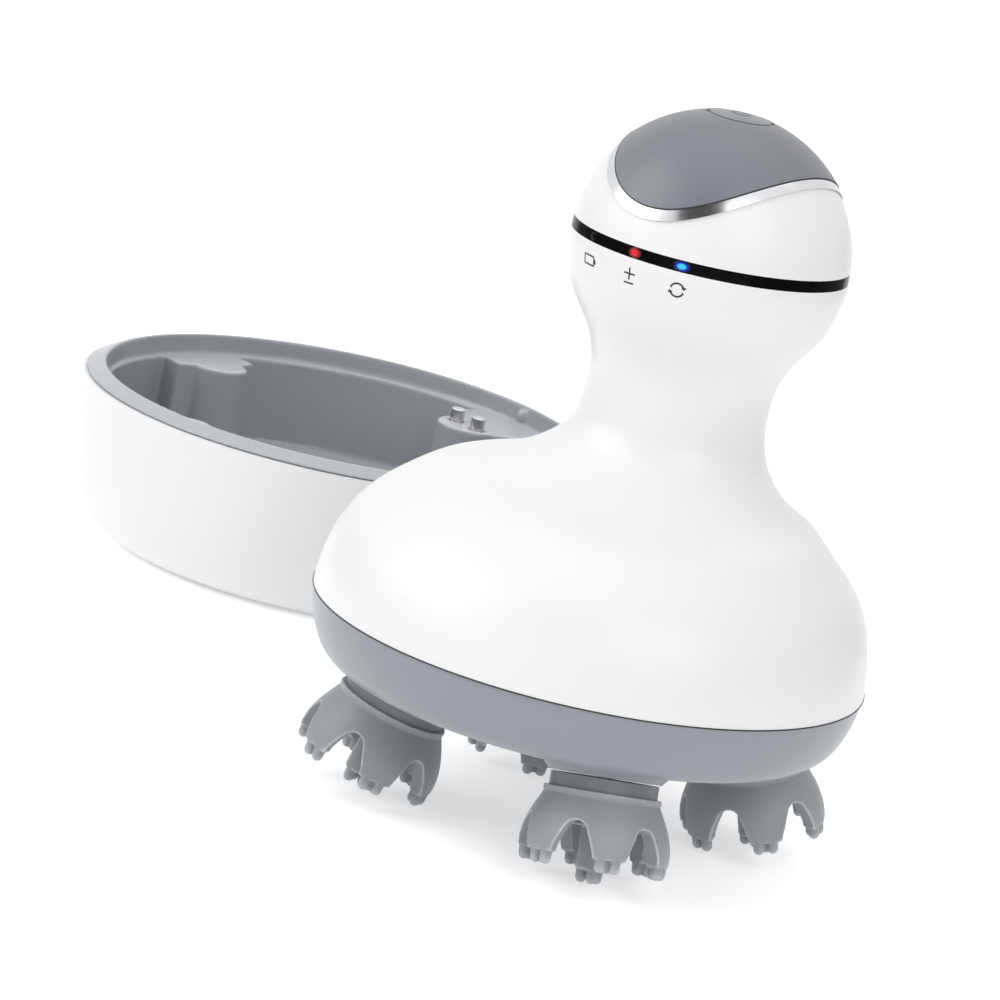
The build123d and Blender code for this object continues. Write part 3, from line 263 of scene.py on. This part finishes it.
BUTTON_INK = plastic("button_ink", (0.10, 0.105, 0.115), 0.5)
GAP = plastic("gap_dark", (0.02, 0.02, 0.022), 0.6)
PIPE = plastic("clear_pipe", (0.004, 0.004, 0.005), 0.14, 800.0, 0.00001, mottle=0.05, shine=0.06)

LOOKS = {
    "main_body": WHITE, "upper_shell": WHITE, "dock_shell": DOCK_WHITE, "battery_holder": WHITE,
    "top_cover": COVER, "power_button": BUTTON, "base_ring": RING, "dock_liner": LINER,
    "chrome_trim": CHROME, "indicator_band": BAND, "dock_board": BOARD, "button_board": BOARD,
    "control_board": BOARD, "tact_switch": DARK, "gearbox_plate": DARK, "dock_base_plate": DARK,
    "battery_cell": WRAP, "dock_feet": RUBBER, "sun_gear": ACETAL, "reduction_gear": ACETAL,
    "charging_contacts": GOLD, "pin_barrels": GOLD, "head_bushes": GOLD,
    "led_battery": PIPE, "led_strength": PIPE, "led_direction": PIPE,
}
for number in range(1, 5):
    LOOKS[f"head_gear_{number}"] = ACETAL
    LOOKS[f"head_carrier_{number}"] = CARRIER
    LOOKS[f"massage_head_{number}"] = SILICONE

# Screws, shafts, pins, springs, the motor and the socket have no entry: they are steel.
for name, obj in nodes.items():
    look = LOOKS.get(name, STEEL)
    if not obj.material_slots:
        obj.data.materials.append(look)
    for place in obj.material_slots:
        place.link = "OBJECT"
        place.material = look


# ---------------------------------------------------------------- mesh building
def add_object(name, data):
    obj = bpy.data.objects.new(name, data)
    scene.collection.objects.link(obj)
    return obj


def finish_piece(obj, material, body, slot):
    obj.data.materials.clear()
    obj.data.materials.append(material)
    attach(obj, body)


def mesh_object(name, verts, faces, smooth=True):
    mesh = bpy.data.meshes.new(name)
    mesh.from_pydata([tuple(v) for v in verts], [], faces)
    mesh.validate()
    mesh.update()
    for p in mesh.polygons:
        p.use_smooth = smooth
    return add_object(name, mesh)


def ribbon_rings(path, width, closed):
    """Left and right edges of a flat stroke of the given width along a 2-D path."""
    count = len(path)
    left, right = [], []
    for i, (x, y) in enumerate(path):
        if closed:
            a, b = path[i - 1], path[(i + 1) % count]
        else:
            a, b = path[max(i - 1, 0)], path[min(i + 1, count - 1)]
        dx, dy = b[0] - a[0], b[1] - a[1]
        length = math.hypot(dx, dy) or 1.0
        nx, ny = -dy / length * width / 2, dx / length * width / 2
        left.append((x + nx, y + ny))
        right.append((x - nx, y - ny))
    return left, right


def dense(path, closed, step=0.25):
    """The same path with points no further apart than the step."""
    out = []
    pairs = zip(path, path[1:] + path[:1]) if closed else zip(path, path[1:])
    for (x0, y0), (x1, y1) in pairs:
        n = max(1, math.ceil(math.hypot(x1 - x0, y1 - y0) / step))
        out += [(x0 + (x1 - x0) * i / n, y0 + (y1 - y0) * i / n) for i in range(n)]
    if not closed:
        out.append(path[-1])
    return out


def arc(radius, start, end, steps=18):
    """Points on a circle round the origin, from one angle in degrees to another."""
    angles = [math.radians(start + (end - start) * i / steps) for i in range(steps + 1)]
    return [(radius * math.cos(a), radius * math.sin(a)) for a in angles]


STROKE_TOP, STROKE_FOOT = 0.05, -0.1  # millimetres above and below the printed surface


def symbol(name, strokes, place, material, body, slot):
    """Thin printed strokes, in millimetres, laid on a surface by the place function."""
    verts, faces = [], []
    for path, width, closed in strokes:
        path = dense(path, closed)
        left, right = ribbon_rings(path, width, closed)
        start = len(verts)
        for a, b in zip(left, right):
            verts += [place(*a, STROKE_TOP), place(*b, STROKE_TOP)]
            verts += [place(*b, STROKE_FOOT), place(*a, STROKE_FOOT)]
        count = len(path)
        last = count if closed else count - 1
        for i in range(last):
            j = (i + 1) % count
            p, q = start + 4 * i, start + 4 * j
            for k in range(4):
                faces.append((p + k, q + k, q + (k + 1) % 4, p + (k + 1) % 4))
        if not closed:
            faces.append((start, start + 1, start + 2, start + 3))
            end = start + 4 * (count - 1)
            faces.append((end + 3, end + 2, end + 1, end))
    finish_piece(mesh_object(name, verts, faces, False), material, body, slot)


def tube_loop(name, points, radius, material, body, slot, sides=8):
    """A thin closed tube along a loop of points."""
    verts, faces = [], []
    count = len(points)
    for i, p in enumerate(points):
        along = (points[(i + 1) % count] - points[i - 1]).normalized()
        out = (p - BALL).normalized()
        across = along.cross(out).normalized()
        out = across.cross(along)
        for k in range(sides):
            a = 2 * math.pi * k / sides
            verts.append(p + (out * math.cos(a) + across * math.sin(a)) * radius)
    for i in range(count):
        j = (i + 1) % count
        for k in range(sides):
            m = (k + 1) % sides
            faces.append((i * sides + k, j * sides + k, j * sides + m, i * sides + m))
    finish_piece(mesh_object(name, verts, faces), material, body, slot)


# ---------------------------------------------------------------- printed symbols under the lights
PRINTED = (INK, "housing", "ring_grey")
SHADOW = (GAP, "housing", "black_abs")
SYMBOL_H = -3.7 * MM  # height of the symbols' middle above the ball's
LINE_W, CAP_W, ARC_W, TIP_W = 0.32, 0.46, 0.36, 0.34  # stroke widths in millimetres
ARROW_R = 1.4

housing = nodes["main_body"]
housing_mesh = BVHTree.FromObject(housing, bpy.context.evaluated_depsgraph_get())
into_housing = housing.matrix_world.inverted()


def on_ball(azimuth, height):
    """Maps flat millimetres on to the housing, round a spot at that azimuth and height on the ball."""
    def place(u, v, lift):
        z = height + v * MM
        ring = math.sqrt(BALL_R**2 - z**2)
        angle = azimuth + u * MM / ring
        outward = Vector((ring * math.sin(angle), -ring * math.cos(angle), z)).normalized()
        eye = into_housing @ (BALL + outward * 2 * BALL_R)
        aim_at = into_housing @ BALL
        hit = housing_mesh.ray_cast(eye, (aim_at - eye).normalized())[0]
        return housing.matrix_world @ hit + outward * lift * MM
    return place


battery_icon = [
    ([(-1.9, -0.95), (1.45, -0.95), (1.45, 0.95), (-1.9, 0.95)], LINE_W, True),
    ([(1.82, -0.48), (1.82, 0.48)], CAP_W, False),
]
plus_minus = [
    ([(-0.8, 0.5), (1.8, 0.5)], LINE_W, False),
    ([(0.5, -0.75), (0.5, 1.75)], LINE_W, False),
    ([(-0.65, -1.45), (1.65, -1.45)], LINE_W, False),
]
arrows = [
    (arc(ARROW_R, 14, 166), ARC_W, False),
    (arc(ARROW_R, 194, 346), ARC_W, False),
    ([(1.72, 0.78), (1.38, 0.38), (0.96, 0.74)], TIP_W, False),
    ([(-1.72, -0.78), (-1.38, -0.38), (-0.96, -0.74)], TIP_W, False),
]
symbol("mark_battery", battery_icon, on_ball(-LED_STEP, SYMBOL_H), *PRINTED)
symbol("mark_strength", plus_minus, on_ball(0.0, SYMBOL_H), *PRINTED)
symbol("mark_direction", arrows, on_ball(LED_STEP, SYMBOL_H), *PRINTED)

# ---------------------------------------------------------------- lights in the band
LENS_RINGS, LENS_SIDES = 5, 24
LENS_RISE, LENS_DEPTH, LENS_PROUD = 0.00022, 0.0006, 0.00006
UNLIT_R = 1.05
LIT_R, RED_STRETCH, BLUE_STRETCH = 1.15, 1.35, 1.6
RED_AZ = math.radians(1.6)


def lens(name, azimuth, material, slot, radius=UNLIT_R, stretch=1.0):
    """A shallow domed lens that stands in its hole in the band."""
    verts, faces = [Vector((0, 0, LENS_RISE))], []
    turns = [2 * math.pi * k / LENS_SIDES for k in range(LENS_SIDES)]
    levels = [
        (radius * MM * i / LENS_RINGS, LENS_RISE * (1 - (i / LENS_RINGS) ** 2))
        for i in range(1, LENS_RINGS + 1)
    ]
    levels.append((radius * MM, -LENS_DEPTH))
    for r, z in levels:
        verts += [Vector((r * stretch * math.cos(a), r * math.sin(a), z)) for a in turns]
    for k in range(LENS_SIDES):
        faces.append((0, 1 + k, 1 + (k + 1) % LENS_SIDES))
    for i in range(LENS_RINGS):
        for k in range(LENS_SIDES):
            a, b = 1 + i * LENS_SIDES + k, 1 + i * LENS_SIDES + (k + 1) % LENS_SIDES
            faces.append((a, a + LENS_SIDES, b + LENS_SIDES, b))
    last = 1 + LENS_RINGS * LENS_SIDES
    faces.append(tuple(last + k for k in reversed(range(LENS_SIDES))))
    obj = mesh_object(name, verts, faces)
    outward = Vector((math.sin(azimuth), -math.cos(azimuth), 0.0))
    side = Vector((math.cos(azimuth), math.sin(azimuth), 0.0))
    turn = Matrix((side, UP, outward)).transposed().to_4x4()
    centre = Vector((0, BALL.y, BAND_MID)) + outward * (BALL_R + LENS_PROUD)
    obj.matrix_world = Matrix.Translation(centre) @ turn
    finish_piece(obj, material, "housing", slot)


lens("light_battery", -LED_STEP, PIPE, "led_clear")
RED = glow("lit_red", (0.45, 0.006, 0.008), (0.78, 0.035, 0.04), LIT_R * MM, RED_STRETCH)
BLUE = glow("lit_blue", (0.0, 0.01, 0.45), (0.04, 0.62, 1.0), LIT_R * MM, BLUE_STRETCH)
lens("light_strength", RED_AZ, RED, "led_red", LIT_R, RED_STRETCH)
lens("light_direction", LED_STEP, BLUE, "led_blue", LIT_R, BLUE_STRETCH)

# ---------------------------------------------------------------- shadow lines at seam and cover
SEAM_STEPS, SEAM_TUBE = 180, 0.16 * MM
TRIM_ARC_R = 40.4 * MM
COVER_PEAK, COVER_LIFT, COVER_TUBE = 21.35 * MM, 0.38 * MM, 0.18 * MM


def saddle_loop(peak, radius, count=240):
    """Where a level bar of the trim's arc radius cuts a ball of the given radius."""
    middle = peak - TRIM_ARC_R
    reach = math.acos((TRIM_ARC_R**2 + middle**2 - radius**2) / (-2 * TRIM_ARC_R * middle))
    points = []
    for i in range(count):
        t = 2 * math.pi * (i + 0.5) / count
        phi = reach * math.sin(t)
        y, z = TRIM_ARC_R * math.sin(phi), middle + TRIM_ARC_R * math.cos(phi)
        x = math.copysign(math.sqrt(max(0.0, radius**2 - y * y - z * z)), math.cos(t))
        points.append(BALL + Vector((x, y, z)))
    return points


seam = [
    Vector((BASE_R * math.cos(a), BASE_R * math.sin(a), SEAM_Z))
    for a in np.linspace(0, 2 * math.pi, SEAM_STEPS, endpoint=False)
]
tube_loop("seam_gap", seam, SEAM_TUBE, *SHADOW)
tube_loop("cover_gap", saddle_loop(COVER_PEAK, BALL_R + COVER_LIFT), COVER_TUBE, *SHADOW)

# ---------------------------------------------------------------- button: symbol, outline, notches
# Millimetres and degrees, seen from above.
BUTTON_R = 6.5
OUTLINE_R, OUTLINE_W = BUTTON_R + 0.1, 0.22
GRIP_R, GRIP_W, GRIP_HALF, GRIP_AT = BUTTON_R + 0.35, 0.5, 9, (34, 214)
POWER_R, POWER_STEM, POWER_W = 1.9, [(0.0, 0.6), (0.0, 2.5)], 0.34


def on_button(u, v, lift):
    """Maps flat millimetres on to the button's domed top, with its top edge away from the front."""
    x, y = u * MM, v * MM
    z = math.sqrt((BUTTON_TOP_R + lift * MM) ** 2 - x * x - y * y)
    return Vector((x, BALL.y + y, BALL.z + z))


power_icon = [(arc(POWER_R, 125, 415), POWER_W, False), (POWER_STEM, POWER_W, False)]
symbol("mark_power", power_icon, on_button, BUTTON_INK, "power_button", "ring_grey")
symbol("button_outline", [(arc(OUTLINE_R, 0, 350, 70), OUTLINE_W, True)], on_button, *SHADOW)
grips = [(arc(GRIP_R, turn - GRIP_HALF, turn + GRIP_HALF), GRIP_W, False) for turn in GRIP_AT]
symbol("button_grips", grips, on_button, *SHADOW)

# ---------------------------------------------------------------- softened liner and heads
LINER_VOXEL, LINER_SMOOTHING = 0.00045, 6
HEAD_VOXEL, HEAD_SMOOTHING = 0.00024, 5
BULGE_SPREAD = 3


def store_bulge(mesh, voxel):
    """Stores at each point how far it stands out of the surface around, the mask for the painted edge
    highlight.
    """
    count = len(mesh.vertices)
    spots, normals = np.empty(count * 3), np.empty(count * 3)
    mesh.vertices.foreach_get("co", spots)
    mesh.vertices.foreach_get("normal", normals)
    spots, normals = spots.reshape(-1, 3), normals.reshape(-1, 3)
    ends = np.empty(len(mesh.edges) * 2, dtype=np.int32)
    mesh.edges.foreach_get("vertices", ends)
    ends = ends.reshape(-1, 2)
    degree = np.maximum(np.bincount(ends.ravel(), minlength=count), 1)

    def around(values):
        total = np.zeros_like(values)
        np.add.at(total, ends[:, 0], values[ends[:, 1]])
        np.add.at(total, ends[:, 1], values[ends[:, 0]])
        return total / (degree[:, None] if values.ndim == 2 else degree)

    bulge = ((spots - around(spots)) * normals).sum(axis=1) / voxel
    for _ in range(BULGE_SPREAD):
        bulge = (bulge + around(bulge)) / 2
    mesh.attributes.new("bulge", "FLOAT", "POINT").data.foreach_set("value", bulge.astype(np.float32))


def soft_copy(node, name, voxel, smooth_times, material, body, slot):
    """The CAD solid with its corners softened, the way a moulded piece comes out of its tool."""
    source = nodes[node]
    mesh = source.data.copy()
    mesh.name = name
    obj = add_object(name, mesh)
    obj.matrix_world = source.matrix_world.copy()
    remesh = obj.modifiers.new("even", "REMESH")
    remesh.mode = "VOXEL"
    remesh.voxel_size = voxel
    remesh.use_smooth_shade = True
    soften = obj.modifiers.new("soften", "SMOOTH")
    soften.factor = 0.5
    soften.iterations = smooth_times
    shaped = obj.evaluated_get(bpy.context.evaluated_depsgraph_get())
    made = bpy.data.meshes.new_from_object(shaped)
    obj.modifiers.clear()
    obj.data = made
    for p in made.polygons:
        p.use_smooth = True
    store_bulge(made, voxel)
    finish_piece(obj, material, body, slot)
    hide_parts(node)


soft_copy("dock_liner", "soft_liner", LINER_VOXEL, LINER_SMOOTHING, LINER, "dock", "liner_grey")
for number in range(1, 5):
    soft_copy(
        f"massage_head_{number}", f"silicone_head_{number}", HEAD_VOXEL, HEAD_SMOOTHING,
        SILICONE, f"head_{number}", "silicone_grey",
    )

# ---------------------------------------------------------------- springs under the charging pins
for number in (1, 2):
    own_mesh(nodes[f"pin_spring_{number}"])

# ---------------------------------------------------------------- camera
AZ, EL, ROLL = math.radians(33.6), math.radians(13.44), math.radians(12.27)
LENS_MM, SENSOR_MM = 180.0, 36.0
CAMERA_AWAY, CAMERA_CLIP = 1.0416, 20.0
AIM_X, AIM_ABOVE_SEAM = -0.0286, 0.0199

back = Vector((math.sin(AZ) * math.cos(EL), -math.cos(AZ) * math.cos(EL), math.sin(EL)))
right = Vector((math.cos(AZ), math.sin(AZ), 0.0))
up = back.cross(right)
cam_x = right * math.cos(ROLL) + up * math.sin(ROLL)
cam_y = up * math.cos(ROLL) - right * math.sin(ROLL)
cam_turn = Matrix((cam_x, cam_y, back)).transposed().to_4x4()
aim_point = Vector((AIM_X, 0.0, AIM_ABOVE_SEAM + SEAM_Z))
camera = add_object("camera", bpy.data.cameras.new("camera"))
camera.data.lens = LENS_MM
camera.data.sensor_width = SENSOR_MM
camera.data.clip_end = CAMERA_CLIP
camera.matrix_world = Matrix.Translation(aim_point + back * CAMERA_AWAY) @ cam_turn
scene.camera = camera

# ---------------------------------------------------------------- lamps
LAMPS_AIM = Vector((0.0, 0.0, 0.08))
LAMPS = (  # name, place, side of the square, watts
    ("key", (-0.80, -0.75, 0.80), 1.0, 7.3),
    ("fill", (0.95, -0.45, 0.85), 0.8, 4.7),
    ("top", (0.0, 0.15, 1.1), 1.0, 1.7),
)
for name, location, side, watts in LAMPS:
    lamp_data = bpy.data.lights.new(name, "AREA")
    lamp_data.shape = "RECTANGLE"
    lamp_data.size = lamp_data.size_y = side
    lamp_data.energy = watts
    lamp = add_object(name, lamp_data)
    lamp.location = location
    lamp.rotation_mode = "QUATERNION"
    lamp.rotation_quaternion = (LAMPS_AIM - lamp.location).to_track_quat("-Z", "Y")

# ---------------------------------------------------------------- floor, cards and world
MATTE_ROUGH = 0.9
FLOOR_GREY, FLOOR_HALF, FLOOR_Z = 0.9, 6, -0.0002
FLOOR_LIGHTING, FLOOR_SHOWN = 0.22, 0.50
WORLD_LIGHTING, WORLD_SHOWN = 0.56, 1.0
CARD_GREY, CARD_AWAY, CARD_TILT = 0.01, 1.3, math.radians(29)
CARD_SPAN = (-0.84, 0.06, -0.36, 0.34)
FLAG_HALF = 0.5
FLAGS = (("flag_right", 0.36, 0.20, 0.42), ("flag_left", -0.40, 0.13, 0.5))  # aside, height, grey


def background_level(tree, lighting, shown):
    """One strength for the light on the object, another for what the camera and the reflections see."""
    rays = tree.nodes.new("ShaderNodeLightPath")
    seen = rays.outputs["Is Camera Ray"]
    for kind in ("Is Glossy Ray", "Is Transmission Ray"):
        either = tree.nodes.new("ShaderNodeMath")
        either.operation = "MAXIMUM"
        tree.links.new(seen, either.inputs[0])
        tree.links.new(rays.outputs[kind], either.inputs[1])
        seen = either.outputs["Value"]
    level = tree.nodes.new("ShaderNodeMapRange")
    level.inputs["To Min"].default_value = lighting
    level.inputs["To Max"].default_value = shown
    tree.links.new(seen, level.inputs["Value"])
    return level.outputs["Result"]


def matte(name, grey):
    mat, tree, bsdf = new_material(name)
    bsdf.inputs["Base Color"].default_value = (grey, grey, grey, 1)
    bsdf.inputs["Roughness"].default_value = MATTE_ROUGH
    return mat, tree, bsdf


def rectangle(left, right, low, high):
    return (left, low), (right, low), (right, high), (left, high)


def stage_panel(name, corners, mat, in_picture):
    """One flat face of the stage. Those that only shade or reflect are left out of the picture."""
    panel = mesh_object(name, corners, [(0, 1, 2, 3)])
    panel.data.materials.append(mat)
    panel.visible_camera = in_picture


floor_mat, floor_tree, floor_bsdf = matte("floor_pale", FLOOR_GREY)
floor_bsdf.inputs["Emission Color"].default_value = (1, 1, 1, 1)
floor_level = background_level(floor_tree, FLOOR_LIGHTING, FLOOR_SHOWN)
floor_tree.links.new(floor_level, floor_bsdf.inputs["Emission Strength"])
floor_square = rectangle(-FLOOR_HALF, FLOOR_HALF, -FLOOR_HALF, FLOOR_HALF)
stage_panel("floor", [(x, y, FLOOR_Z) for x, y in floor_square], floor_mat, True)

# A black card beside the camera, for the darker reflections in the trim.
card_out = back * math.cos(CARD_TILT) + up * math.sin(CARD_TILT)
card_up = up * math.cos(CARD_TILT) - back * math.sin(CARD_TILT)
card_middle = BALL + card_out * CARD_AWAY
card_corners = [card_middle + right * x + card_up * z for x, z in rectangle(*CARD_SPAN)]
stage_panel("card", card_corners, matte("card_black", CARD_GREY)[0], False)

# Grey cards that stand on the floor on both sides, so that the white edges show on the white.
depth = Vector((-back.x, -back.y, 0.0)).normalized()
for name, aside, height, grey in FLAGS:
    corners = [
        right * aside + depth * a + UP * z for a, z in rectangle(-FLAG_HALF, FLAG_HALF, 0.0, height)
    ]
    stage_panel(name, corners, matte(name, grey)[0], False)

world = bpy.data.worlds.new("world")
scene.world = world
world.use_nodes = True
sky = world.node_tree
backdrop = sky.nodes["Background"]
backdrop.inputs["Color"].default_value = (1, 1, 1, 1)
sky.links.new(background_level(sky, WORLD_LIGHTING, WORLD_SHOWN), backdrop.inputs["Strength"])

scene.view_settings.view_transform = "Standard"
scene.view_settings.look = "None"
scene.view_settings.exposure = 0.0
scene.view_settings.gamma = 1.0
